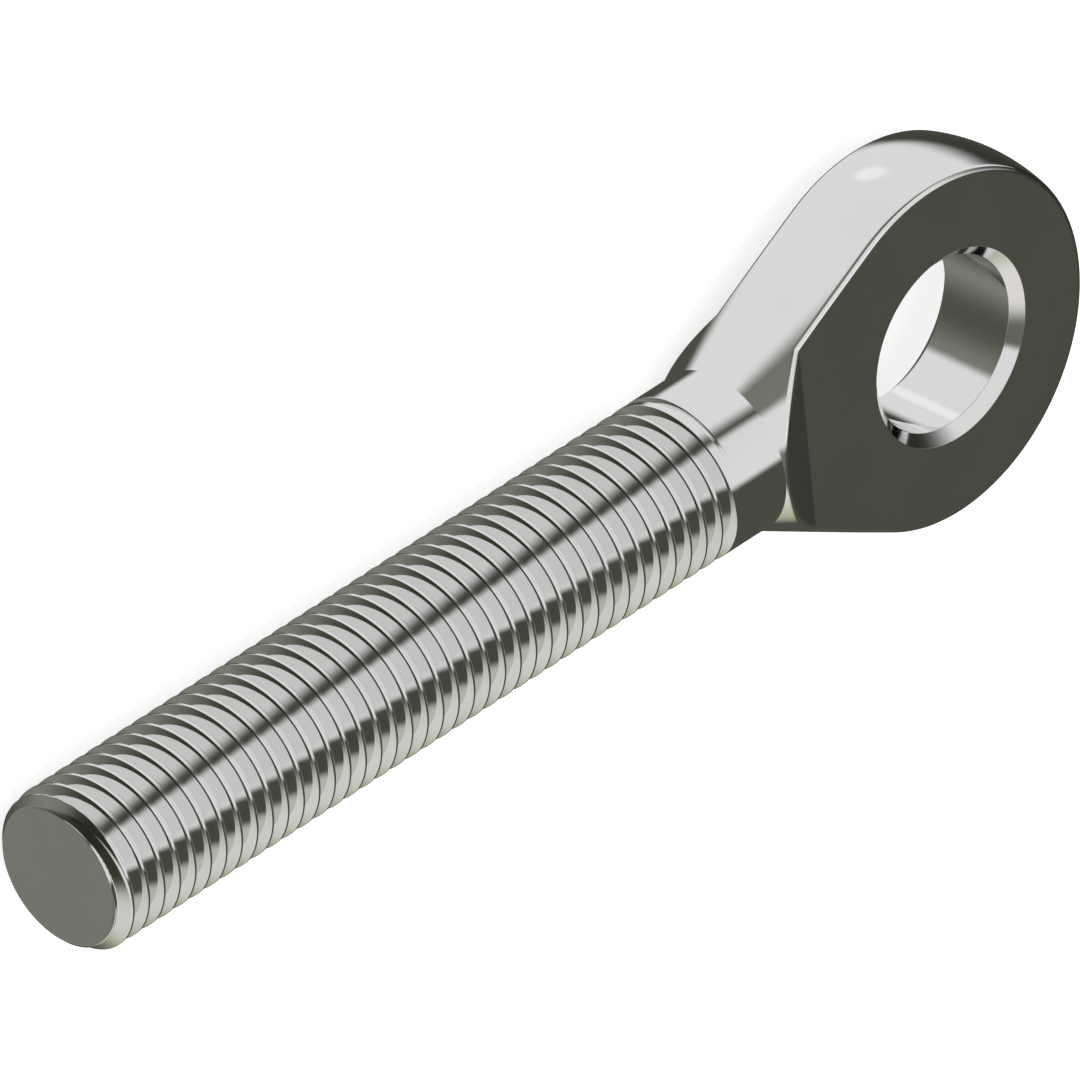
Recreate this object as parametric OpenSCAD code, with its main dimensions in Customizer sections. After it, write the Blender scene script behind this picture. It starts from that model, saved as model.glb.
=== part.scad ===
// Threaded rod eye, made as one piece of stainless steel.
// A round bar is turned to a ball at one end, with a straight cone between ball and bar.
// The ball is milled to two parallel flats that run out up the cone, and bored across them.
// X runs along the bar towards the eye, Z is the axis of the cross bore, and the origin is
// the middle of that bore. The thread is right-handed: each half turn of its groove is half a
// ring, tilted so that it ends where the next one starts.

/* [Bar] */
// Outside diameter of the bar and of its thread
bar_d = 16; // [12:0.5:20]
// Centre of the cross bore to the free end of the bar
bar_reach = 110; // [70:1:150]
// Width and height of the chamfer round the free end
tip_chamfer = 0.85; // [0.5:0.05:1.5]
// Radius between the end face and its chamfer
tip_edge_r = 0.35; // [0.1:0.05:0.6]

/* [Thread] */
// Distance from one turn of the thread to the next
pitch = 2; // [1.5:0.25:2.5]
// Plain bar from the foot of the cone to where the tool starts to leave the work
plain_l = 6.75; // [4:0.05:20]
// Angle round the bar, from +Y over +Z, at which it starts to leave
leave_angle = 240; // [0:5:355]

/* [Head] */
// Diameter of the turned ball
ball_d = 36; // [34:0.1:40]
// How far the centre of the ball sits behind the bore, towards the bar
ball_back = 0.5; // [0:0.1:1.5]
// Half angle of the cone that runs from the bar onto the ball
neck_angle = 27; // [24:0.1:32]

/* [Flats] */
// Thickness across the two milled flats
eye_t = 10; // [8:0.5:12]
// Centre of the cross bore to the straight end of each flat
flat_reach = 18.5; // [16:0.1:20]
// Angle at which each flat runs out up the cone
runout_angle = 29; // [26:0.5:34]
// Radius along the long edges of the flats
flat_edge_r = 0.7; // [0.3:0.05:1]

/* [Cross bore] */
// Diameter of the cross bore
bore_d = 17; // [12:0.5:20]
// Width and depth of the chamfer at both ends of the bore
bore_chamfer = 1.05; // [0.5:0.05:1.5]

/* [Hidden] */
$fn = 120;

// Cutters pass the faces that they cut by this much
pass = 1;
// The groove's cutters pass the bar by less, so that neighbouring turns stay apart
groove_pass = 0.08;
// Every chamfer is as high as it is wide
chamfer_angle = 45;

bar_r = bar_d / 2;
ball_r = ball_d / 2;
flat_z = eye_t / 2;
clear_r = ball_r + pass;

// Where the cone leaves the ball as a tangent, and where it meets the bar
cone_top_x = -ball_back - ball_r * sin(neck_angle);
cone_top_r = ball_r * cos(neck_angle);
cone_foot_x = cone_top_x - (cone_top_r - bar_r) / tan(neck_angle);

// The corner of the end face, and how far its rounding reaches along both sides
tip_r = bar_r - tip_chamfer;
tip_round = tip_edge_r * tan(chamfer_angle / 2);
tip_round_in = tip_round * cos(chamfer_angle);
tip_round_up = tip_round * sin(chamfer_angle);

// Metric form of the thread: the angle of a flank to a straight cut, and the widths of the
// crest and of the depth, as shares of the pitch and of the sharp triangle between flanks
flank_angle = 30;
crest_share = 1 / 8;
depth_share = 17 / 24;
groove_depth = depth_share * pitch / (2 * tan(flank_angle));
root_r = bar_r - groove_depth;
root_half = (1 - crest_share) * pitch / 2 - groove_depth * tan(flank_angle);
mouth_r = bar_r + groove_pass;
mouth_half = root_half + (mouth_r - root_r) * tan(flank_angle);

// Half a turn advances by half the pitch, which sets the tilt of the half rings at mid depth
half_lead = pitch / 2;
ring_tilt = asin(half_lead / 2 / ((bar_r + root_r) / 2));
thread_end_x = cone_foot_x - plain_l;
half_turns = ceil((bar_reach + thread_end_x + mouth_half) / half_lead);
// In the last half turn the tool follows a circle that is wider by this, and so leaves the bar
leave_shift = (mouth_r - root_r) / 2;

// Rounding of the long edges of a flat: its centre line lies below the flat by the radius
round_z = flat_z - flat_edge_r;
// On the ball that line is a circle about the ball's centre
ball_round_r = sqrt(pow(ball_r - flat_edge_r, 2) - pow(round_z, 2));
ball_round_lift = asin(round_z / (ball_r - flat_edge_r));
ball_round_half = acos(-(ball_r - flat_edge_r) * sin(neck_angle) / ball_round_r);
// The rounding stands this much proud of a tangent, so that it crosses both faces cleanly,
// and a little more on the cone, so that it ends cleanly at the circle's end
ball_round_slack = 0.01;
neck_round_slack = 0.015;
// Its cutter reaches this far out from the circle's centre, and follows the run-out's plane
// this far either side of the end of the flat
round_reach = 2 * flat_edge_r;
runout_dip = 4 * flat_edge_r;
// Its two arcs run past their ends, the first by an angle and the second by shares of its bend
ball_round_lap = 1;
neck_lap_start = 0.02;
neck_lap_end = 0.28;

// Radius of the cone at a place along the bar
function cone_r(x) = bar_r + (x - cone_foot_x) * tan(neck_angle);

// On the cone it bends slightly, from the end of the circle to the end of the flat
function neck_round_y(x) = sqrt(pow(cone_r(x) - flat_edge_r / cos(neck_angle), 2) - pow(round_z, 2));
neck_start = [ball_round_r * cos(ball_round_half) - ball_back, ball_round_r * sin(ball_round_half)];
neck_end = [-flat_reach, neck_round_y(-flat_reach)];
neck_chord = neck_end - neck_start;
neck_bend = atan2(neck_chord.y, neck_chord.x) + 360 - (ball_round_half + 90);
neck_round_r = norm(neck_chord) / (2 * sin(neck_bend));

// Half section of the turned blank: radius across, length along the bar upwards
module blank_section() {
    intersection() {
        translate([0, -bar_reach])
            square([clear_r, bar_reach + clear_r]);
        union() {
            translate([0, -ball_back])
                circle(r = ball_r);
            polygon([
                [0, -bar_reach],
                [tip_r - tip_round, -bar_reach],
                [tip_r + tip_round_in, -bar_reach + tip_round_up],
                [bar_r, -bar_reach + tip_chamfer],
                [bar_r, cone_foot_x],
                [cone_top_r, cone_top_x],
                [0, cone_top_x]
            ]);
            translate([tip_r - tip_round, -bar_reach + tip_edge_r])
                circle(r = tip_edge_r);
        }
    }
}

// Bar, cone and ball as they leave the lathe
module turned_blank() {
    rotate([0, 90, 0])
        rotate_extrude()
            blank_section();
}

// Half a ring of the groove, from +Y over +Z to -Y: a shift widens it and leaves its start
module groove_half(shift) {
    rotate([0, 0, ring_tilt])
        rotate([90, 0, 90])
            translate([-shift, 0, 0])
                rotate_extrude(angle = 180)
                    translate([shift, 0])
                        polygon([
                            [root_r, -root_half],
                            [mouth_r, -mouth_half],
                            [mouth_r, mouth_half],
                            [root_r, root_half]
                        ]);
}

// The whole groove, from where the tool leaves the work back to beyond the free end
module thread_cutter() {
    for (k = [0 : half_turns])
        translate([thread_end_x + half_lead / 2 - k * half_lead, 0, 0])
            rotate([leave_angle - k * 180, 0, 0])
                groove_half(k == 0 ? leave_shift : 0);
}

// What the mill takes off above the upper flat and its run-out
module flat_cutter() {
    runout_x = -flat_reach - (clear_r - flat_z) / tan(runout_angle);
    rotate([90, 0, 0])
        linear_extrude(height = 2 * clear_r, center = true)
            polygon([
                [clear_r, flat_z],
                [-flat_reach, flat_z],
                [runout_x, clear_r],
                [clear_r, clear_r]
            ]);
}

// Section of what a rounding takes off a corner: all beyond its circle, from straight up
// down to where it meets the ball or the cone
module corner_section(slack) {
    difference() {
        polygon([
            [0, 0],
            [0, round_reach],
            [round_reach, round_reach],
            [round_reach, round_reach * tan(ball_round_lift)]
        ]);
        circle(r = flat_edge_r + slack);
    }
}

// All that lies above the upper run-out, and above where its plane dips below the flat
module above_runout() {
    rise = runout_dip * tan(runout_angle);
    rotate([90, 0, 0])
        linear_extrude(height = 2 * clear_r, center = true)
            polygon([
                [-flat_reach - runout_dip, flat_z + rise],
                [-flat_reach + runout_dip, flat_z - rise],
                [clear_r, flat_z - rise],
                [clear_r, clear_r],
                [-flat_reach - runout_dip, clear_r]
            ]);
}

// Rounding of the upper flat's edge, from the far end of the ball down one side of the cone
module edge_cutter() {
    intersection() {
        translate([-ball_back, 0, round_z]) {
            rotate([0, 0, -ball_round_lap])
                rotate_extrude(angle = ball_round_half + ball_round_lap)
                    translate([ball_round_r, 0])
                        corner_section(ball_round_slack);
            rotate([0, 0, ball_round_half])
                translate([ball_round_r - neck_round_r, 0, 0])
                    rotate([0, 0, -neck_lap_start * neck_bend])
                        rotate_extrude(angle = (2 + neck_lap_start + neck_lap_end) * neck_bend)
                            translate([neck_round_r, 0])
                                corner_section(neck_round_slack);
        }
        above_runout();
    }
}

// The cross bore with a chamfer at its upper end
module bore_cutter() {
    cylinder(d = bore_d, h = flat_z + pass);
    translate([0, 0, flat_z - bore_chamfer])
        cylinder(r1 = bore_d / 2, r2 = bore_d / 2 + bore_chamfer + pass, h = bore_chamfer + pass);
}

// The finished piece
module rod_eye() {
    color("silver")
        difference() {
            turned_blank();
            thread_cutter();
            for (side = [0, 1])
                mirror([0, 0, side]) {
                    flat_cutter();
                    bore_cutter();
                    for (half = [0, 1])
                        mirror([0, half, 0])
                            edge_cutter();
                }
        }
}

rod_eye();
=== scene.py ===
"""Threaded rod eye in polished stainless steel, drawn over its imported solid.

The whole part is one piece of steel, so it is drawn as one closed mesh. The eye and its neck are
built strip by strip from the same sizes as the solid, with every edge rounded and every normal
worked out exactly, because polished steel shows the smallest waviness. A Geometry Nodes tree cuts
the thread along its helix. Lengths in the classes are millimetres, and meshes are in metres.
"""

import logging
from dataclasses import dataclass, field
from enum import Enum
from math import acos, asin, atan, atan2, ceil, cos, pi, radians, sin, sqrt, tan

import bmesh
import bpy
import numpy as np
from mathutils import Matrix, Vector


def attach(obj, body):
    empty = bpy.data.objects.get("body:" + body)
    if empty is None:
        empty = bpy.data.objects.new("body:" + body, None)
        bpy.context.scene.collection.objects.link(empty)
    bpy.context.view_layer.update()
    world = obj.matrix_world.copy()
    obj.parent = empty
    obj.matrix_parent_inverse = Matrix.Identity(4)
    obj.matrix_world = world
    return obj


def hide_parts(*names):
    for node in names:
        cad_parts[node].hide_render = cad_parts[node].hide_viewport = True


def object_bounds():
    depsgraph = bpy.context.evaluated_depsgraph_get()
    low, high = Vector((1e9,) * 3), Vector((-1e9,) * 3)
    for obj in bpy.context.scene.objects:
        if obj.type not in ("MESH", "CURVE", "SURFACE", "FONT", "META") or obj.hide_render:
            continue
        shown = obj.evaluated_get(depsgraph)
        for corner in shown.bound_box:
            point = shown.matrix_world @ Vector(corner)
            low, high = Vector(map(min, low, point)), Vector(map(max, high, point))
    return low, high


MM = 0.001
# Below this a length in metres counts as nothing, so that nothing is divided by zero
TINY = 1e-9
LOG = logging.getLogger("rod_eye")

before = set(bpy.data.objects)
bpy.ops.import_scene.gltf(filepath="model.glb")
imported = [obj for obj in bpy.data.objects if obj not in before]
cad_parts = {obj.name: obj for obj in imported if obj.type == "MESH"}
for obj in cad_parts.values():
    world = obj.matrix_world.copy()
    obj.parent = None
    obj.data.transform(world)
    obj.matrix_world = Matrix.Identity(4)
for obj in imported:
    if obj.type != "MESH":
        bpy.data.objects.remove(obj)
solid_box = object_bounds()


class Axis(Enum):
    """The directions that the part is built on."""

    BAR = (1.0, 0.0, 0.0)
    ACROSS = (0.0, 1.0, 0.0)
    BORE = (0.0, 0.0, 1.0)

    @property
    def vector(self) -> np.ndarray:
        """The direction as an array."""
        return np.array(self.value)


@dataclass(frozen=True)
class RodSizes:
    """The sizes of the steel blank and of what the mill takes off it, in millimetres."""

    bar_d: float = 16.0
    bar_reach: float = 110.0
    tip_chamfer: float = 1.1
    tip_edge_r: float = 0.45
    ball_d: float = 36.0
    ball_back: float = 0.5
    neck_angle: float = 27.0
    eye_t: float = 10.0
    flat_reach: float = 18.5
    runout_angle: float = 29.0
    flat_edge_r: float = 0.7
    bore_d: float = 17.0
    bore_chamfer: float = 1.05

    @property
    def bar_r(self) -> float:
        """Radius of the bar."""
        return self.bar_d / 2

    @property
    def ball_r(self) -> float:
        """Radius of the turned ball."""
        return self.ball_d / 2

    @property
    def flat_z(self) -> float:
        """Height of a flat above the middle of the eye."""
        return self.eye_t / 2

    @property
    def neck(self) -> float:
        """Half angle of the neck's cone, in radians."""
        return radians(self.neck_angle)

    @property
    def runout(self) -> float:
        """Angle of the flats' run-out ramps, in radians."""
        return radians(self.runout_angle)

    @property
    def cone_top_x(self) -> float:
        """Where the cone touches the ball, along the bar."""
        return -self.ball_back - self.ball_r * sin(self.neck)

    @property
    def cone_foot_x(self) -> float:
        """Where the cone meets the bar."""
        rise = self.ball_r * cos(self.neck) - self.bar_r
        return self.cone_top_x - rise / tan(self.neck)

    def cone_r(self, x: float) -> float:
        """Radius of the cone at a place along the bar.

        Args:
            x: Place along the bar.

        Returns:
            The radius there.
        """
        return self.bar_r + (x - self.cone_foot_x) * tan(self.neck)


@dataclass
class Patchwork:
    """A mesh that grows patch by patch, with its own normal at every face corner."""

    weld: float = 2e-4
    weld_shift: float = 0.371
    points: list = field(default_factory=list)
    normals: list = field(default_factory=list)
    faces: list = field(default_factory=list)
    count: int = 0

    def add(self, points: np.ndarray, normals: np.ndarray, faces: list) -> None:
        """Adds a patch whose corners all take the normal of their point.

        Args:
            points: One row for each point, in millimetres.
            normals: The surface normal at each point.
            faces: Tuples of row numbers.
        """
        self.points.append(np.asarray(points, float).reshape(-1, 3))
        self.normals.append(np.asarray(normals, float).reshape(-1, 3))
        self.faces.extend(tuple(i + self.count for i in face) for face in faces)
        self.count += len(self.points[-1])

    def add_grid(self, points: np.ndarray, normals: np.ndarray) -> None:
        """Adds a patch of rows and columns.

        Args:
            points: Rows, columns and coordinates.
            normals: The same for the normals.
        """
        rows, columns = points.shape[:2]
        faces = [
            (i * columns + j, i * columns + j + 1, (i + 1) * columns + j + 1, (i + 1) * columns + j)
            for i in range(rows - 1)
            for j in range(columns - 1)
        ]
        self.add(points, normals, faces)

    def mirrored(self, axis: Axis) -> "Patchwork":
        """The patches with their mirror images.

        Args:
            axis: The direction that the mirror turns round.

        Returns:
            A new patchwork of twice the size.
        """
        both = Patchwork(self.weld)
        points, normals = np.concatenate(self.points), np.concatenate(self.normals)
        turn = 1 - 2 * axis.vector
        both.add(points, normals, self.faces)
        both.add(points * turn, normals * turn, self.faces)
        return both

    def mesh(self, name: str, box: tuple[Vector, Vector]) -> bpy.types.Mesh:
        """Welds the patches into one mesh, turns every face outwards and sets the normals.

        Args:
            name: Name of the mesh.
            box: Corners of the solid's box in metres, which the mesh is kept in.

        Returns:
            The finished mesh, in metres.
        """
        points, normals = np.concatenate(self.points), np.concatenate(self.normals)
        normals = normals / np.linalg.norm(normals, axis=1, keepdims=True)
        keys = np.floor(points / self.weld + self.weld_shift).astype(np.int64)
        _, first, index = np.unique(keys, axis=0, return_index=True, return_inverse=True)
        index = index.ravel()
        faces, corners = [], []
        for face in self.faces:
            kept = [c for n, c in enumerate(face) if index[c] != index[face[n - 1]]]
            if len(kept) < 3 or len({index[c] for c in kept}) < 3:
                continue
            ring = points[kept]
            area = np.cross(ring, np.roll(ring, -1, axis=0)).sum(axis=0)
            if area @ normals[kept].sum(axis=0) < 0:
                kept.reverse()
            faces.append([int(index[c]) for c in kept])
            corners.extend(kept)
        made = bpy.data.meshes.new(name)
        made.from_pydata(np.clip(points[first] * MM, *box).tolist(), [], faces)
        made.shade_smooth()
        made.normals_split_custom_set(normals[corners].tolist())
        made.update()
        return made


@dataclass(frozen=True)
class Station:
    """A place on the rounded rim of a flat, where a small ball rolls along inside the corner."""

    centre: np.ndarray
    radius: float
    top_normal: np.ndarray
    side_normal: np.ndarray

    @property
    def top(self) -> np.ndarray:
        """Where the rolling ball touches the flat or its ramp."""
        return self.centre + self.radius * self.top_normal

    @property
    def side(self) -> np.ndarray:
        """Where the rolling ball touches the ball or the cone of the blank."""
        return self.centre + self.radius * self.side_normal

    def arc(self, steps: int) -> tuple[np.ndarray, np.ndarray]:
        """The rounded corner from the flat down to the side.

        Args:
            steps: Number of points.

        Returns:
            The points and their normals.
        """
        a, b = self.top_normal, self.side_normal
        turn = acos(float(np.clip(a @ b, -1, 1)))
        t = np.linspace(0, turn, steps)[:, None]
        normals = (np.sin(turn - t) * a + np.sin(t) * b) / sin(turn)
        return self.centre + self.radius * normals, normals


@dataclass
class Eye:
    """The ball with its two flats, the cross bore and the cone that leads to the bar."""

    sizes: RodSizes
    side_steps: int = 40
    arc_steps: int = 9
    ball_steps: int = 78
    cone_steps: int = 21
    corner_steps: int = 4
    ramp_steps: int = 44
    bend_steps: int = 14
    bore_edge_steps: int = 4
    bore_steps: int = 5
    bore_edge_r: float = 0.06
    ball_gap_angle: float = 0.8
    weld_gap: float = 1e-6

    @property
    def ball_centre(self) -> np.ndarray:
        """Centre of the turned ball."""
        return np.array([-self.sizes.ball_back, 0.0, 0.0])

    @property
    def ramp_normal(self) -> np.ndarray:
        """Outward normal of the upper run-out ramp."""
        return np.array([sin(self.sizes.runout), 0.0, cos(self.sizes.runout)])

    def cone_normal(self, phi: float) -> np.ndarray:
        """Outward normal of the cone.

        Args:
            phi: Angle round the bar, from across towards the bore's axis.

        Returns:
            The unit normal.
        """
        s = self.sizes
        return np.array([-sin(s.neck), cos(s.neck) * cos(phi), cos(s.neck) * sin(phi)])

    def apex_radius(self) -> float:
        """Radius of the rim's rounding where it ends, just touching the foot of the cone."""
        s = self.sizes
        slopes = tan(s.neck) + tan(s.runout)
        start = s.flat_z - s.flat_reach * tan(s.runout) - s.bar_r + s.cone_foot_x * tan(s.neck)
        gap = start / slopes - s.cone_foot_x
        return gap / (sin(s.neck) + (1 / cos(s.runout) - 1 / cos(s.neck)) / slopes)

    def ball_stations(self) -> list[Station]:
        """Places on the rim along the ball, from the far end of the eye to the cone."""
        s, r = self.sizes, self.sizes.flat_edge_r
        up = s.flat_z - r
        reach = sqrt((s.ball_r - r) ** 2 - up**2)
        last = pi / 2 + s.neck - radians(self.ball_gap_angle)
        made = []
        for beta in np.linspace(0, last, self.ball_steps):
            out = np.array([reach * cos(beta), reach * sin(beta), up])
            side = out / np.linalg.norm(out)
            made.append(Station(out + self.ball_centre, r, Axis.BORE.vector, side))
        return made

    def cone_stations(self) -> list[Station]:
        """Places on the rim along the cone, up to the end of the flat."""
        s, r = self.sizes, self.sizes.flat_edge_r
        up = s.flat_z - r
        made = []
        for x in np.linspace(s.cone_top_x, -s.flat_reach - r * sin(s.neck), self.cone_steps):
            inner = s.cone_r(x) - r * cos(s.neck)
            phi = asin(up / inner)
            centre = np.array([x + r * sin(s.neck), inner * cos(phi), up])
            made.append(Station(centre, r, Axis.BORE.vector, self.cone_normal(phi)))
        return made

    def corner_stations(self) -> list[Station]:
        """Places on the rim where it turns from the flat onto the ramp."""
        s, r = self.sizes, self.sizes.flat_edge_r
        made = []
        for lean in np.linspace(0, s.runout, self.corner_steps + 1)[1:]:
            normal = np.array([sin(lean), 0.0, cos(lean)])
            x, z = -s.flat_reach - r * sin(lean), s.flat_z - r * cos(lean)
            y = sqrt((s.cone_r(x) - r / cos(s.neck)) ** 2 - z**2)
            made.append(Station(np.array([x, y, z]), r, normal, self.cone_normal(atan2(z, y))))
        return made

    def ramp_stations(self, first_phi: float) -> list[Station]:
        """Places on the rim along the ramp, up to where it runs out on top of the bar.

        Args:
            first_phi: Angle round the bar at which the ramp's rim starts.

        Returns:
            The stations, the last of them on the middle line.
        """
        s, end_r = self.sizes, self.apex_radius()
        made = []
        for share in np.linspace(0, 1, self.ramp_steps)[1:]:
            phi = first_phi + (pi / 2 - first_phi) * share
            r = s.flat_edge_r + (end_r - s.flat_edge_r) * share
            cone_at_0 = s.cone_r(0) - r / cos(s.neck)
            ramp_at_0 = s.flat_z - s.flat_reach * tan(s.runout) - r / cos(s.runout)
            x = (ramp_at_0 - cone_at_0 * sin(phi)) / (tan(s.neck) * sin(phi) + tan(s.runout))
            out = s.cone_r(x) - r / cos(s.neck)
            centre = np.array([x, out * cos(phi), out * sin(phi)])
            made.append(Station(centre, r, self.ramp_normal, self.cone_normal(phi)))
        return made

    def side_of_ball(self, station: Station) -> tuple[np.ndarray, np.ndarray]:
        """The ball's side from the rounding down to the middle of the eye's edge.

        Args:
            station: Where the strip starts.

        Returns:
            Points and normals.
        """
        n = station.side_normal
        beta = atan2(n[1], n[0])
        lift = np.linspace(asin(n[2]), 0, self.side_steps + 1)
        normals = np.stack([np.cos(lift) * cos(beta), np.cos(lift) * sin(beta), np.sin(lift)], 1)
        return self.ball_centre + self.sizes.ball_r * normals, normals

    def side_of_cone(self, station: Station) -> tuple[np.ndarray, np.ndarray]:
        """The cone's side from the rounding round to its widest line.

        Args:
            station: Where the strip starts.

        Returns:
            Points and normals.
        """
        x, y, z = station.side
        phi = np.linspace(atan2(z, y), 0, self.side_steps + 1)
        r = np.hypot(y, z)
        points = np.stack([np.full_like(phi, x), r * np.cos(phi), r * np.sin(phi)], 1)
        return points, np.stack([self.cone_normal(p) for p in phi])

    def bore_profile(self) -> tuple[np.ndarray, np.ndarray]:
        """Half section of the bore, from the flat over the chamfer to the middle.

        Returns:
            Radius and height of each point, and the same for its normal.
        """
        s, r = self.sizes, self.bore_edge_r
        bore_r, back = s.bore_d / 2, self.bore_edge_r * tan(pi / 8)
        outer = np.array([bore_r + s.bore_chamfer + back, s.flat_z - r])
        inner = np.array([bore_r + r, s.flat_z - s.bore_chamfer - back])
        points, normals = [], []
        for centre, start, stop in ((outer, 90, 135), (inner, 135, 180)):
            for a in np.radians(np.linspace(start, stop, self.bore_edge_steps)):
                normals.append([cos(a), sin(a)])
                points.append(centre + r * np.array(normals[-1]))
        for z in np.linspace(points[-1][1], 0, self.bore_steps)[1:]:
            points.append(np.array([bore_r, z]))
            normals.append([-1.0, 0.0])
        return np.array(points), np.array(normals)

    def build(self) -> Patchwork:
        """Builds a quarter of the eye and its neck and mirrors it twice.

        Returns:
            The patches, open only at the foot of the cone.
        """
        ball, cone = self.ball_stations(), self.cone_stations()
        corner = self.corner_stations()
        start = corner[-1].centre
        ramp = self.ramp_stations(atan2(start[2], start[1]))
        quarter = Patchwork()
        rows, turned = [], []
        for station in ball + cone + corner + ramp:
            arc, arc_n = station.arc(self.arc_steps)
            on_ball = station.side[0] > self.sizes.cone_top_x + self.weld_gap
            side, side_n = self.side_of_ball(station) if on_ball else self.side_of_cone(station)
            rows.append(np.concatenate([arc, side[1:]]))
            turned.append(np.concatenate([arc_n, side_n[1:]]))
        quarter.add_grid(np.array(rows), np.array(turned))
        self.add_flat(quarter, [s.top for s in ball + cone + corner])
        self.add_ramp(quarter, [s.top for s in corner[-1:] + ramp])
        return quarter.mirrored(Axis.ACROSS).mirrored(Axis.BORE)

    def bend_line(self, half_width: float) -> list[np.ndarray]:
        """Points on the line where flat and ramp meet, from the rim to the middle.

        Args:
            half_width: How far the line reaches to the side.

        Returns:
            The points after the first.
        """
        s = self.sizes
        turn = atan(half_width / s.flat_reach)
        angles = np.linspace(turn, 0, self.bend_steps + 1)[1:]
        return [np.array([-s.flat_reach, s.flat_reach * tan(a), s.flat_z]) for a in angles]

    def add_flat(self, quarter: Patchwork, rim: list[np.ndarray]) -> None:
        """Adds the flat, the chamfer and the bore, all in the rim's own columns.

        Args:
            quarter: The patches so far.
            rim: The points where the flat's rounding starts.
        """
        outline = np.array(rim + self.bend_line(rim[-1][1]))
        theta = np.arctan2(outline[:, 1], outline[:, 0])
        profile, profile_n = self.bore_profile()
        around = np.stack([np.cos(theta), np.sin(theta)], 1)

        def turned(section: np.ndarray) -> np.ndarray:
            """The half section swept round the bore.

            Args:
                section: Radius and height of each point.

            Returns:
                Rows of points, one row for each column of the rim.
            """
            flat_part = around[:, None, :] * section[None, :, :1]
            height = np.broadcast_to(section[None, :, 1:], flat_part.shape[:2] + (1,))
            return np.concatenate([flat_part, height], axis=2)

        quarter.add_grid(turned(profile), turned(profile_n))
        strip = np.stack([outline, turned(profile[:1])[:, 0]], 1)
        up = np.broadcast_to(Axis.BORE.vector, strip.shape)
        quarter.add_grid(strip, up)

    def add_ramp(self, quarter: Patchwork, rim: list[np.ndarray]) -> None:
        """Adds half of the run-out ramp as one plane face.

        Args:
            quarter: The patches so far.
            rim: The points where the ramp's rounding starts, from the bend line to the top.
        """
        bend = [rim[0]] + self.bend_line(rim[0][1])
        outline = np.array(bend[::-1] + rim[1:])
        up = np.broadcast_to(self.ramp_normal, outline.shape)
        quarter.add(outline, up, [tuple(range(len(outline)))])


class Term:
    """A number inside a node tree, which ordinary arithmetic extends."""

    def __init__(self, tree: bpy.types.NodeTree, socket: bpy.types.NodeSocket) -> None:
        """Keeps the tree and the socket that gives the number.

        Args:
            tree: The node tree.
            socket: An output socket.
        """
        self.tree = tree
        self.socket = socket

    def apply(self, operation: str, *others: "Term | float", clamp: bool = False) -> "Term":
        """Adds one Math node.

        Args:
            operation: The node's operation.
            others: Its further inputs.
            clamp: Whether the result is kept between 0 and 1.

        Returns:
            The result.
        """
        node = self.tree.nodes.new("ShaderNodeMath")
        node.operation = operation
        node.use_clamp = clamp
        for n, value in enumerate((self, *others)):
            if isinstance(value, Term):
                self.tree.links.new(value.socket, node.inputs[n])
            else:
                node.inputs[n].default_value = value
        return Term(self.tree, node.outputs[0])

    def __add__(self, other: "Term | float") -> "Term":
        """Sum."""
        return self.apply("ADD", other)

    def __sub__(self, other: "Term | float") -> "Term":
        """Difference."""
        return self.apply("SUBTRACT", other)

    def __mul__(self, other: "Term | float") -> "Term":
        """Product."""
        return self.apply("MULTIPLY", other)

    def __truediv__(self, other: "Term | float") -> "Term":
        """Quotient."""
        return self.apply("DIVIDE", other)

    def __neg__(self) -> "Term":
        """Opposite number."""
        return self.apply("MULTIPLY", -1.0)

    def least(self, other: "Term | float") -> "Term":
        """The smaller of two."""
        return self.apply("MINIMUM", other)

    def most(self, other: "Term | float") -> "Term":
        """The larger of two."""
        return self.apply("MAXIMUM", other)

    def share(self) -> "Term":
        """The number kept between 0 and 1."""
        return self.apply("ADD", 0.0, clamp=True)

    def below(self, other: "Term | float") -> "Term":
        """1 where it is less than the other, and else 0."""
        return self.apply("LESS_THAN", other)

    def choose(self, yes: "Term | float", no: "Term | float") -> "Term":
        """One of two numbers, by whether this one is 1 or 0, or a mix of them in between.

        Args:
            yes: The number where this is 1.
            no: The number where this is 0.

        Returns:
            The chosen number.
        """
        node = self.tree.nodes.new("ShaderNodeMix")
        self.tree.links.new(self.socket, node.inputs[0])
        for n, value in ((2, no), (3, yes)):
            if isinstance(value, Term):
                self.tree.links.new(value.socket, node.inputs[n])
            else:
                node.inputs[n].default_value = value
        return Term(self.tree, node.outputs[0])


@dataclass(frozen=True)
class Turned:
    """Radius and normal of the turned surface at one vertex of the tree's grids."""

    radius: Term
    along: Term
    outward: Term
    round: Term


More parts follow.
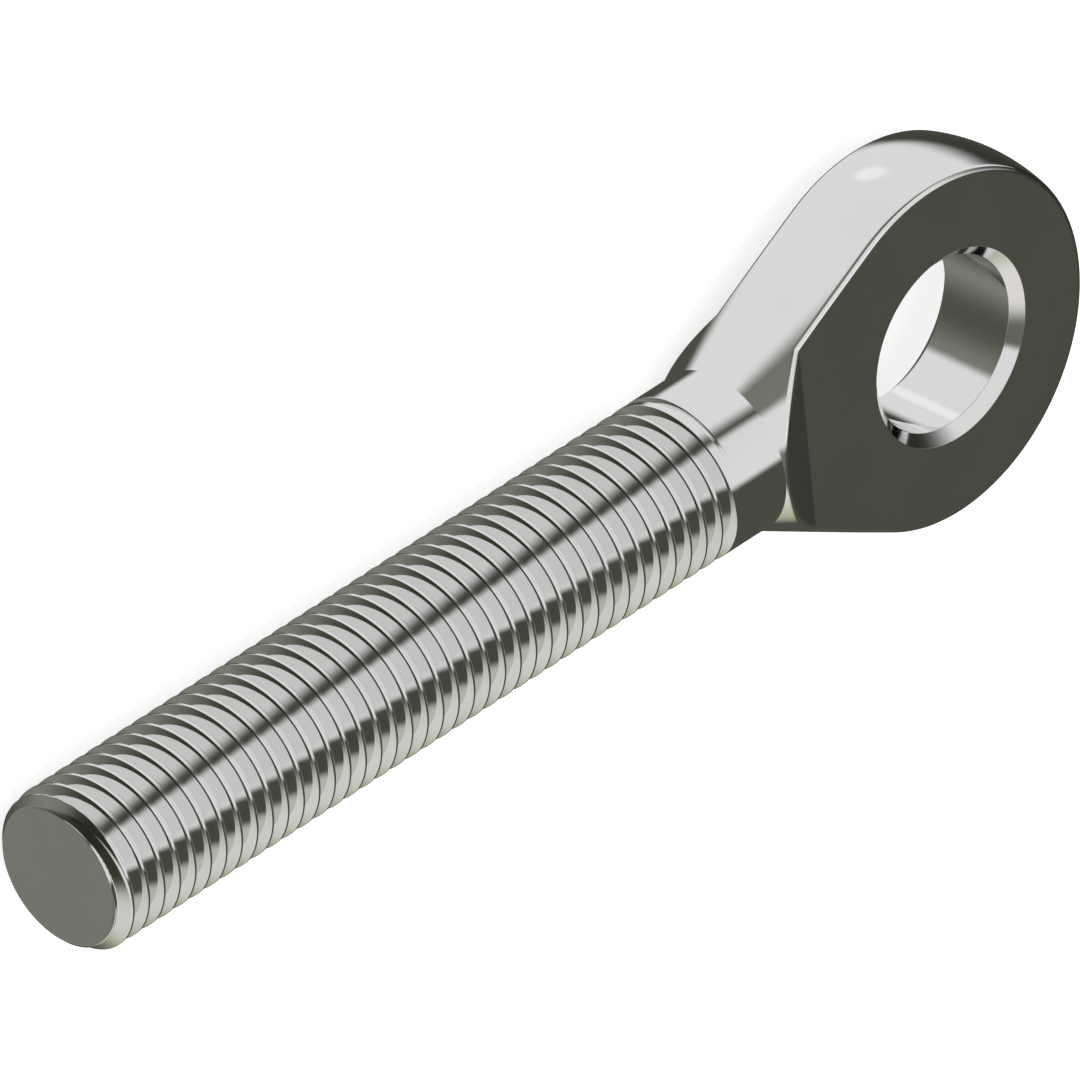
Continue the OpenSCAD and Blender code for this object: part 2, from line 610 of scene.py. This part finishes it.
@dataclass
class ThreadedBar:
    """The bar from the foot of the cone to the free end, with its coarse right-hand thread.

    The groove's middle line is a helix. The tree lays eight rows of points along each turn of
    it: both ends of the rounded root corners and of the rounded crest edges. Near the eye the
    tool leaves the work over the last half turn, so the groove grows narrow and shallow there.
    At the free end the normals blend over the ridge between the groove and the chamfer.
    """

    sizes: RodSizes
    pitch: float = 2.0
    depth: float = 1.227
    root_flat: float = 0.3333
    edge_break: float = 0.05
    flank_angle: float = 30.0
    groove_x: float = -107.693
    groove_phi: float = 93.0
    end_angle: float = 14095.0
    fade_angle: float = 175.0
    columns: int = 160
    turn_rows: int = 8
    early_turns: int = 2
    late_turns: int = 2
    collar: float = 1.25
    tip_rows: int = 46
    ridge_blend: float = 0.2
    fade_margin: float = 1e-4
    end_gap: float = 1e-4
    weld: float = 0.001
    normal_name: str = "turned_normal"

    def inputs(self) -> dict[str, float]:
        """The tree's named inputs, with lengths in metres and angles in radians."""
        s = self.sizes
        slope = 1 / tan(radians(self.flank_angle))
        start = self.groove_x - self.pitch * self.groove_phi / 360
        arc_back = s.tip_edge_r * tan(pi / 8)
        return {
            "Bar Radius": s.bar_r * MM,
            "Free End": -s.bar_reach * MM,
            "Cone Foot": s.cone_foot_x * MM,
            "Collar": (self.collar - s.bar_reach) * MM,
            "Tip Radius": (s.bar_r - s.tip_chamfer) * MM,
            "Tip Edge": s.tip_edge_r * MM,
            "Tip Arc Start": (s.bar_r - s.tip_chamfer - arc_back) * MM,
            "Pitch": self.pitch * MM,
            "Flank Slope": slope,
            "Depth": self.depth * MM,
            "Half Root": (self.root_flat - self.edge_break) / 2 * MM,
            "Edge Break": self.edge_break * MM,
            "First Groove": start * MM,
            "Fade Start": radians(self.end_angle - self.fade_angle),
            "Fade Length": radians(self.fade_angle),
        }

    @property
    def turns(self) -> int:
        """Turns of rows that cover the bar from beyond its end to past the cone's foot."""
        length = self.sizes.bar_reach + self.sizes.cone_foot_x
        return ceil(length / self.pitch) + self.early_turns + self.late_turns

    def tree(self, finish: bpy.types.Material) -> bpy.types.NodeTree:
        """Builds the node tree.

        Args:
            finish: Not used; the tree sets the material that comes in at its Finish input.

        Returns:
            The tree.
        """
        tree = bpy.data.node_groups.new("cut_thread", "GeometryNodeTree")
        face = tree.interface
        for name, value in self.inputs().items():
            socket = face.new_socket(name=name, in_out="INPUT", socket_type="NodeSocketFloat")
            socket.default_value = value
        face.new_socket(name="Finish", in_out="INPUT", socket_type="NodeSocketMaterial")
        face.new_socket(name="Geometry", in_out="OUTPUT", socket_type="NodeSocketGeometry")
        source = tree.nodes.new("NodeGroupInput")
        given = {name: Term(tree, source.outputs[name]) for name in self.inputs()}
        bar = self.thread_rows(tree, given)
        tip = self.tip_rows_of(tree, given)
        join = tree.nodes.new("GeometryNodeJoinGeometry")
        for part in (bar, tip):
            tree.links.new(part, join.inputs[0])
        weld = tree.nodes.new("GeometryNodeMergeByDistance")
        weld.inputs["Distance"].default_value = self.weld * MM
        real = tree.nodes.new("GeometryNodeRealizeInstances")
        paint = tree.nodes.new("GeometryNodeSetMaterial")
        out = tree.nodes.new("NodeGroupOutput")
        tree.links.new(join.outputs[0], weld.inputs["Geometry"])
        tree.links.new(weld.outputs[0], real.inputs["Geometry"])
        tree.links.new(real.outputs[0], paint.inputs["Geometry"])
        tree.links.new(source.outputs["Finish"], paint.inputs["Material"])
        tree.links.new(paint.outputs[0], out.inputs[0])
        return tree

    def grid(self, tree: bpy.types.NodeTree, rows: int) -> tuple[bpy.types.NodeSocket, Term, Term]:
        """Adds a flat grid, whose points are then moved by row and column.

        Args:
            tree: The node tree.
            rows: Number of rows.

        Returns:
            The grid, and the row and the column of a point.
        """
        node = tree.nodes.new("GeometryNodeMeshGrid")
        node.inputs["Vertices X"].default_value = rows
        node.inputs["Vertices Y"].default_value = self.columns + 1
        index = Term(tree, tree.nodes.new("GeometryNodeInputIndex").outputs[0])
        row = ((index + 0.5) / float(self.columns + 1)).apply("FLOOR")
        return node.outputs["Mesh"], row, index - row * float(self.columns + 1)

    def surface(self, given: dict[str, Term], x: Term, phi: Term) -> Turned:
        """The threaded surface at any place along and round the bar.

        Args:
            given: The tree's inputs.
            x: Place along the bar.
            phi: Angle round it.

        Returns:
            Radius and normal there.
        """
        pitch, slope, broken = given["Pitch"], given["Flank Slope"], given["Edge Break"]
        turn = (x - given["First Groove"]) / pitch - phi / (2 * pi)
        near = (turn + 0.5).apply("FLOOR")
        off = (turn - near) * pitch
        aside = off.apply("ABSOLUTE")
        left = self.tool_left(given, phi + near * (2 * pi))
        width = given["Depth"] * (-left + 1.0) / slope
        broken = broken.least(width)
        root_end = given["Half Root"]
        crest = root_end + width
        at_root = ((aside - root_end) / broken.most(TINY)).share()
        at_crest = ((aside - crest) / broken.most(TINY)).share()

        rise = self.rounded_climb(aside, root_end, broken) - self.rounded_climb(aside, crest, broken)
        radius = given["Bar Radius"] - (width - rise) * slope
        steep = (at_root - at_crest) * slope * off.apply("SIGN")
        lift = given["Depth"] / given["Fade Length"] * self.tool_leaving(given, left) * (-at_crest + 1.0)
        around = (lift - steep * pitch / (2 * pi)) / radius
        return Turned(radius, -steep, self.one(given), -around)

    def rounded_climb(self, aside: Term, start: Term, broken: Term) -> Term:
        """Length passed beyond a corner that is rounded over a short width.

        Args:
            aside: Distance from the groove's middle.
            start: Where the corner starts.
            broken: The corner's width.

        Returns:
            The length.
        """
        past = (aside - start).most(0.0)
        inside = past.least(broken)
        return past - inside + inside * inside / (broken.most(TINY) * 2.0)

    def one(self, given: dict[str, Term]) -> Term:
        """The number 1 as a term."""
        return given["Bar Radius"] * 0.0 + 1.0

    def tool_left(self, given: dict[str, Term], angle: Term) -> Term:
        """How far the tool has left the work, from 0 to 1, at an angle along the helix."""
        return ((angle - given["Fade Start"]) / given["Fade Length"]).share()

    def tool_leaving(self, given: dict[str, Term], left: Term) -> Term:
        """1 while the tool is leaving the work, and else 0."""
        return (-left).below(-self.fade_margin) * left.below(1.0 - self.fade_margin)

    def thread_rows(self, tree: bpy.types.NodeTree, given: dict[str, Term]) -> bpy.types.NodeSocket:
        """The rows that run along the helix from the collar to the cone's foot.

        Args:
            tree: The node tree.
            given: Its inputs.

        Returns:
            The geometry.
        """
        rows, half = float(self.turn_rows), self.turn_rows / 2
        mesh, row, column = self.grid(tree, self.turns * self.turn_rows)
        turn = ((row + 0.5) / rows).apply("FLOOR")
        place = row - turn * rows
        phi = column * (2 * pi / self.columns)
        angle = phi + (turn - float(self.early_turns)) * (2 * pi)
        after = place.apply("GREATER_THAN", half - 0.5)
        step = after.choose(place - half, -place + (half - 1.0))
        left = self.tool_left(given, angle)
        width = given["Depth"] * (-left + 1.0) / given["Flank Slope"]
        broken = given["Edge Break"].least(width)
        outer = step.apply("GREATER_THAN", 1.5)
        aside = given["Half Root"] + outer.choose(width + (step - 2.0) * broken, step * broken)
        side = after * 2.0 - 1.0
        x = given["First Groove"] + given["Pitch"] * angle / (2 * pi) + aside * side
        x = x.most(given["Collar"]).least(given["Cone Foot"])
        return self.shaped(tree, mesh, x, phi, self.surface(given, x, phi))

    def tip_rows_of(self, tree: bpy.types.NodeTree, given: dict[str, Term]) -> bpy.types.NodeSocket:
        """The rows of the free end: face, rounded edge, chamfer and the first crest.

        Args:
            tree: The node tree.
            given: Its inputs.

        Returns:
            The geometry.
        """
        mesh, row, column = self.grid(tree, self.tip_rows + 1)
        phi = column * (2 * pi / self.columns)
        share = ((row - 1.0) / float(self.tip_rows - 1)).most(0.0)
        off = share * share * (given["Collar"] - given["Free End"])
        x = given["Free End"] + off
        edge = given["Tip Edge"]
        in_arc = off.below(edge * (1 - cos(pi / 4)))
        sunk = (edge - off).most(0.0)
        rise = (edge * edge - sunk * sunk).most(0.0).apply("SQRT")
        chamfer = given["Tip Radius"] + off
        plain = chamfer.least(given["Bar Radius"])
        blank = in_arc.choose(given["Tip Arc Start"] + rise, plain)
        blend = self.ridge_blend * MM
        on_bar = ((chamfer - given["Bar Radius"]) / blend + 0.5).share()
        along = in_arc.choose(-sunk / edge, on_bar.choose(0.0, -1.0))
        outward = in_arc.choose(rise / edge, self.one(given))
        cut = self.surface(given, x, phi)
        cut_here = ((blank - cut.radius) / blend + 0.5).share()
        radius = row.below(0.5).choose(0.0, cut.radius.least(blank))
        turned = Turned(
            radius,
            cut_here.choose(cut.along, along),
            cut_here.choose(cut.outward, outward),
            cut_here.choose(cut.round, 0.0),
        )
        return self.shaped(tree, mesh, x, phi, turned)

    def shaped(
        self,
        tree: bpy.types.NodeTree,
        mesh: bpy.types.NodeSocket,
        x: Term,
        phi: Term,
        turned: Turned,
    ) -> bpy.types.NodeSocket:
        """Moves a grid's points to the turned surface and stores their normals.

        Args:
            tree: The node tree.
            mesh: The flat grid.
            x: Place along the bar.
            phi: Angle round it.
            turned: Radius and normal.

        Returns:
            The geometry.
        """
        c, s = phi.apply("COSINE"), phi.apply("SINE")
        store = tree.nodes.new("GeometryNodeStoreNamedAttribute")
        store.data_type = "FLOAT_VECTOR"
        store.domain = "POINT"
        store.inputs["Name"].default_value = self.normal_name
        move = tree.nodes.new("GeometryNodeSetPosition")
        normal = (
            turned.along,
            c * turned.outward - s * turned.round,
            s * turned.outward + c * turned.round,
        )
        place = (x, c * turned.radius, s * turned.radius)
        for terms, target in ((normal, store.inputs["Value"]), (place, move.inputs["Position"])):
            vector = tree.nodes.new("ShaderNodeCombineXYZ")
            for n, term in enumerate(terms):
                tree.links.new(term.socket, vector.inputs[n])
            tree.links.new(vector.outputs[0], target)
        tree.links.new(mesh, store.inputs["Geometry"])
        tree.links.new(store.outputs[0], move.inputs["Geometry"])
        return move.outputs[0]

    def build(self, finish: bpy.types.Material) -> Patchwork:
        """Runs the tree and takes its mesh over as patches.

        Args:
            finish: The steel's material.

        Returns:
            The bar, open only at the foot of the cone.
        """
        carrier = bpy.data.objects.new("thread_carrier", bpy.data.meshes.new("thread_carrier"))
        bpy.context.scene.collection.objects.link(carrier)
        modifier = carrier.modifiers.new("cut_thread", "NODES")
        modifier.node_group = self.tree(finish)
        values = self.inputs()
        for item in modifier.node_group.interface.items_tree:
            if item.in_out == "INPUT":
                modifier[item.identifier] = values.get(item.name, finish)
        graph = bpy.context.evaluated_depsgraph_get()
        graph.update()
        cut = bpy.data.meshes.new_from_object(carrier.evaluated_get(graph))
        carrier.modifiers.remove(modifier)
        points = np.zeros(len(cut.vertices) * 3)
        cut.vertices.foreach_get("co", points)
        points = points.reshape(-1, 3) / MM
        normals = np.zeros(len(cut.vertices) * 3)
        cut.attributes[self.normal_name].data.foreach_get("vector", normals)
        normals = normals.reshape(-1, 3)
        faces = [tuple(p.vertices) for p in cut.polygons]
        at_end = points[:, 0] < self.end_gap - self.sizes.bar_reach
        face_end = [f for f in faces if all(at_end[i] for i in f)]
        bar = Patchwork()
        bar.add(points, normals, [f for f in faces if not all(at_end[i] for i in f)])
        bar.add(points, np.broadcast_to(-Axis.BAR.vector, points.shape), face_end)
        bpy.data.objects.remove(carrier)
        return bar


@dataclass(frozen=True)
class PolishedSteel:
    """Stainless steel, turned and then polished, with faint traces of both."""

    name: str = "polished_steel"
    bright: tuple[float, float, float, float] = (0.805, 0.805, 0.803, 1.0)
    dull: tuple[float, float, float, float] = (0.79, 0.79, 0.787, 1.0)
    roughness: tuple[float, float] = (0.05, 0.09)
    cloud_scale: float = 160.0
    cloud_detail: float = 5.0
    tint_span: tuple[float, float] = (0.35, 0.75)
    rough_span: tuple[float, float] = (0.3, 0.7)

    def build(self) -> bpy.types.Material:
        """Builds the material.

        Returns:
            The material.
        """
        made = bpy.data.materials.new(self.name)
        made.use_nodes = True
        tree = made.node_tree
        tree.nodes.clear()
        out = tree.nodes.new("ShaderNodeOutputMaterial")
        steel = tree.nodes.new("ShaderNodeBsdfPrincipled")
        steel.inputs["Metallic"].default_value = 1.0
        tree.links.new(steel.outputs[0], out.inputs["Surface"])
        place = tree.nodes.new("ShaderNodeTexCoord").outputs["Object"]
        cloud = tree.nodes.new("ShaderNodeTexNoise")
        cloud.inputs["Scale"].default_value = self.cloud_scale
        cloud.inputs["Detail"].default_value = self.cloud_detail
        tree.links.new(place, cloud.inputs["Vector"])
        tint = tree.nodes.new("ShaderNodeMix")
        tint.data_type = "RGBA"
        tint.inputs["A"].default_value = self.bright
        tint.inputs["B"].default_value = self.dull
        spread = tree.nodes.new("ShaderNodeMapRange")
        spread.inputs["From Min"].default_value = self.tint_span[0]
        spread.inputs["From Max"].default_value = self.tint_span[1]
        tree.links.new(cloud.outputs["Fac"], spread.inputs["Value"])
        tree.links.new(spread.outputs[0], tint.inputs["Factor"])
        tree.links.new(tint.outputs["Result"], steel.inputs["Base Color"])
        rough = tree.nodes.new("ShaderNodeMapRange")
        rough.inputs["From Min"].default_value = self.rough_span[0]
        rough.inputs["From Max"].default_value = self.rough_span[1]
        rough.inputs["To Min"].default_value = self.roughness[0]
        rough.inputs["To Max"].default_value = self.roughness[1]
        tree.links.new(cloud.outputs["Fac"], rough.inputs["Value"])
        tree.links.new(rough.outputs[0], steel.inputs["Roughness"])
        return made


class Ray(Enum):
    """Kinds of ray that the studio tells apart."""

    CAMERA = "Is Camera Ray"
    GLOSSY = "Is Glossy Ray"


@dataclass(frozen=True)
class Side:
    """A straight side of a panel, with a soft edge.

    A direction is inside where its share along towards is above the limit. The three numbers
    of towards go along the bar, across it and along the bore, and need no unit length.
    """

    towards: tuple[float, float, float]
    limit: float
    edge: float

    @property
    def unit(self) -> tuple[float, float, float]:
        """The direction at unit length."""
        return tuple(Vector(self.towards).normalized())


@dataclass(frozen=True)
class Sweep:
    """A stretch round the bar, in degrees from across towards the bore's axis.

    A lean says how many degrees an end moves on over a share of 1 along the bar.
    """

    ends: tuple[float, float]
    edges: tuple[float, float]
    leans: tuple[float, float] = (0.0, 0.0)


@dataclass(frozen=True)
class Panel:
    """A soft-edged light, or a patch of shade, that polished steel mirrors."""

    level: tuple[float, float, float]
    sides: tuple[Side, ...]
    sweep: Sweep | None = None


SOFT_LIGHT = (0.85, 0.85, 0.848)
CLOTH_SIDES = (
    Side((-0.21, -0.6, -0.77), -0.115, 0.175),
    Side((0.02, -0.22, 0.97), -0.16, 0.22),
    Side((-0.7, -0.66, 0.27), 0.45, 0.1),
    Side((0.73, 0.12, 0.67), -0.53, 0.02),
)


@dataclass(frozen=True)
class Studio:
    """Camera, soft light, mirrored surroundings and pale floor.

    The panels are listed from back to front: each one covers those before it.
    """

    view_width: float = 96.144
    distance: float = 600.0
    clip: tuple[float, float] = (0.1, 20.0)
    target: tuple[float, float, float] = (-32.832, -11.354, -15.629)
    right: tuple[float, float, float] = (0.68951, -0.07944, 0.71991)
    back: tuple[float, float, float] = (-0.57248, 0.5491, 0.6089)
    floor_half: float = 2.5
    floor_tint: float = 0.8
    floor_glow: float = 0.62
    shade: tuple[float, float, float] = (0.079, 0.081, 0.063)
    wall_glow: Panel = Panel((0.72, 0.74, 0.643), (Side((-1, 0, 0), 0.815, 1.185),))
    far_shade: Panel = Panel((0.035, 0.038, 0.022), (Side((-1, 0, 0), 0.64, 0.31),))
    end_shade: Panel = Panel((0.02, 0.022, 0.019), (Side((1, 0, 0), 0.8, 0.3),))
    camera_shade: Panel = Panel(
        (0.024, 0.025, 0.021), (Side((-1, 0, 0), 0.695, 0.105),), Sweep((-34, 89), (12, 12))
    )
    side_cloth: Panel = Panel((0.44, 0.48, 0.313), CLOTH_SIDES)
    side_light: Panel = Panel(
        (0.855, 0.825, 0.815), CLOTH_SIDES + (Side((-0.79, -0.27, 0.55), 0.39, 0.355),)
    )
    low_light: Panel = Panel(
        SOFT_LIGHT,
        (Side((0.93, 0.32, 0.195), -0.31, 0.085), Side((-0.9, 0.21, 0.375), -0.895, 0.08)),
        Sweep((-75, 6.5), (8, 10), (-8, 26)),
    )
    high_light: Panel = Panel(
        SOFT_LIGHT,
        (Side((0.93, 0.3, 0.225), -0.395, 0.043), Side((-1.0, -0.1, 0.0), -0.79, 0.21)),
        Sweep((37.5, 91), (6, 5.3), (-4, 15)),
    )
    low_lamp: Panel = Panel((1.02, 1.02, 1.02), (Side((0.43, 0.64, -0.64), 0.995, 0.004),))
    high_lamp: Panel = Panel((1.12, 1.12, 1.12), (Side((0.255, 0.03, 0.965), 0.992, 0.004),))

    def build_camera(self) -> bpy.types.Object:
        """Sets up the camera, which sees the part in parallel, as from far away.

        Returns:
            The camera.
        """
        data = bpy.data.cameras.new("product_camera")
        data.type = "ORTHO"
        data.ortho_scale = self.view_width * MM
        data.clip_start, data.clip_end = self.clip
        camera = bpy.data.objects.new("product_camera", data)
        bpy.context.scene.collection.objects.link(camera)
        back = Vector(self.back).normalized()
        right = Vector(self.right)
        right = (right - right.dot(back) * back).normalized()
        up = back.cross(right)
        place = Matrix((right, up, back)).transposed().to_4x4()
        place.translation = (Vector(self.target) + back * self.distance) * MM
        camera.matrix_world = place
        bpy.context.scene.camera = camera
        return camera

    def build_world(self) -> None:
        """Sets up the surroundings: a plain white dome, and for mirrored rays the panels."""
        world = bpy.data.worlds.new("studio")
        bpy.context.scene.world = world
        world.use_nodes = True
        tree = world.node_tree
        tree.nodes.clear()
        out = tree.nodes.new("ShaderNodeOutputWorld")
        sky = tree.nodes.new("ShaderNodeBackground")
        tree.links.new(sky.outputs[0], out.inputs["Surface"])
        axes = tree.nodes.new("ShaderNodeSeparateXYZ")
        tree.links.new(tree.nodes.new("ShaderNodeTexCoord").outputs["Generated"], axes.inputs[0])
        along, across, up = (Term(tree, axes.outputs[n]) for n in range(3))
        turn = up.apply("ARCTAN2", across) * (180 / pi)
        panels = (
            self.wall_glow, self.far_shade, self.end_shade, self.camera_shade, self.side_cloth,
            self.side_light, self.low_light, self.high_light, self.low_lamp, self.high_lamp,
        )
        colour = tree.nodes.new("ShaderNodeRGB")
        colour.outputs[0].default_value = (*self.shade, 1.0)
        mirrored = colour.outputs[0]
        for panel in panels:
            cover = self.cover(panel, (along, across, up), turn)
            mix = tree.nodes.new("ShaderNodeMix")
            mix.data_type = "RGBA"
            tree.links.new(cover.socket, mix.inputs["Factor"])
            tree.links.new(mirrored, mix.inputs["A"])
            mix.inputs["B"].default_value = (*panel.level, 1.0)
            mirrored = mix.outputs["Result"]
        path = tree.nodes.new("ShaderNodeLightPath")
        choose = tree.nodes.new("ShaderNodeMix")
        choose.data_type = "RGBA"
        tree.links.new(path.outputs[Ray.GLOSSY.value], choose.inputs["Factor"])
        choose.inputs["A"].default_value = (1.0, 1.0, 1.0, 1.0)
        tree.links.new(mirrored, choose.inputs["B"])
        tree.links.new(choose.outputs["Result"], sky.inputs["Color"])

    def cover(self, panel: Panel, way: tuple[Term, Term, Term], turn: Term) -> Term:
        """How much of a panel stands in a direction.

        Args:
            panel: The panel.
            way: The direction's shares along the bar, across it and along the bore.
            turn: The direction's angle round the bar, in degrees.

        Returns:
            The share, from 0 to 1.
        """
        made = []
        for side in panel.sides:
            share = sum((w * t for w, t in zip(way[1:], side.unit[1:])), way[0] * side.unit[0])
            made.append(self.soft(-share, -side.limit, side.edge))
        if panel.sweep:
            (start, stop), (low_lean, high_lean) = panel.sweep.ends, panel.sweep.leans
            middle = (start + stop) / 2
            off = (turn - middle + 180.0).apply("FLOORED_MODULO", 360.0) - 180.0
            low, high = way[0] * low_lean - off, off - way[0] * high_lean
            made.append(self.soft(low, middle - start, panel.sweep.edges[0]))
            made.append(self.soft(high, stop - middle, panel.sweep.edges[1]))
        cover = made[0]
        for more in made[1:]:
            cover = cover * more
        return cover

    def soft(self, value: Term, limit: float, edge: float) -> Term:
        """1 below a limit, 0 above it, with a smooth edge.

        Args:
            value: What is compared.
            limit: The limit.
            edge: Half the width of the edge.

        Returns:
            The share.
        """
        t = ((-value + (limit + edge)) / (2 * edge)).share()
        return t * t * (-t * 2.0 + 3.0)

    def build_floor(self, height: float) -> bpy.types.Object:
        """Lays the pale floor under the part.

        Args:
            height: Height of the part's lowest point, in metres.

        Returns:
            The floor.
        """
        mesh = bpy.data.meshes.new("floor")
        h = self.floor_half
        corners = [(-h, -h, height), (h, -h, height), (h, h, height), (-h, h, height)]
        mesh.from_pydata(corners, [], [(0, 1, 2, 3)])
        floor_object = bpy.data.objects.new("floor", mesh)
        bpy.context.scene.collection.objects.link(floor_object)
        floor_object.visible_glossy = False
        made = bpy.data.materials.new("pale_floor")
        made.use_nodes = True
        tree = made.node_tree
        tree.nodes.clear()
        out = tree.nodes.new("ShaderNodeOutputMaterial")
        matt = tree.nodes.new("ShaderNodeBsdfDiffuse")
        matt.inputs["Color"].default_value = (self.floor_tint,) * 3 + (1.0,)
        glow = tree.nodes.new("ShaderNodeEmission")
        path = tree.nodes.new("ShaderNodeLightPath")
        strength = Term(tree, path.outputs[Ray.CAMERA.value]) * self.floor_glow
        tree.links.new(strength.socket, glow.inputs["Strength"])
        both = tree.nodes.new("ShaderNodeAddShader")
        tree.links.new(matt.outputs[0], both.inputs[0])
        tree.links.new(glow.outputs[0], both.inputs[1])
        tree.links.new(both.outputs[0], out.inputs["Surface"])
        mesh.materials.append(made)
        return floor_object


@dataclass
class RodEye:
    """The whole part: eye, neck and threaded bar as one closed piece of steel."""

    sizes: RodSizes
    name: str = "rod_eye_steel"
    body: str = "root"
    node: str = "rod_eye"
    slot: str = "polished_steel"

    def build(self, finish: bpy.types.Material) -> bpy.types.Object:
        """Builds both halves, welds them and lets them ride on the solid.

        Args:
            finish: The steel's material.

        Returns:
            The piece.
        """
        whole = Patchwork()
        for part in (Eye(self.sizes).build(), ThreadedBar(self.sizes).build(finish)):
            whole.add(np.concatenate(part.points), np.concatenate(part.normals), part.faces)
        mesh = whole.mesh(self.name, solid_box)
        mesh.materials.append(finish)
        piece = bpy.data.objects.new(self.name, mesh)
        bpy.context.scene.collection.objects.link(piece)
        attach(piece, self.body)
        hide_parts(self.node)
        return piece

    def report(self, piece: bpy.types.Object) -> None:
        """Writes the piece's size and whether it is closed to the log.

        Args:
            piece: The finished piece.
        """
        check = bmesh.new()
        check.from_mesh(piece.data)
        loose = sum(1 for e in check.edges if len(e.link_faces) != 2)
        volume = check.calc_volume() / MM**3
        check.free()
        triangles = sum(len(p.vertices) - 2 for p in piece.data.polygons)
        LOG.info(
            "%s: %d triangles, %d edges without two faces, %.1f mm3",
            piece.name, triangles, loose, volume,
        )


def main() -> None:
    logging.basicConfig(level=logging.INFO, format="%(name)s: %(message)s")
    bpy.context.scene.view_settings.view_transform = "Standard"
    finish = PolishedSteel().build()
    rod_eye = RodEye(RodSizes())
    piece = rod_eye.build(finish)
    rod_eye.report(piece)
    studio = Studio()
    studio.build_camera()
    studio.build_world()
    studio.build_floor(solid_box[0].z)


if __name__ == "__main__":
    main()
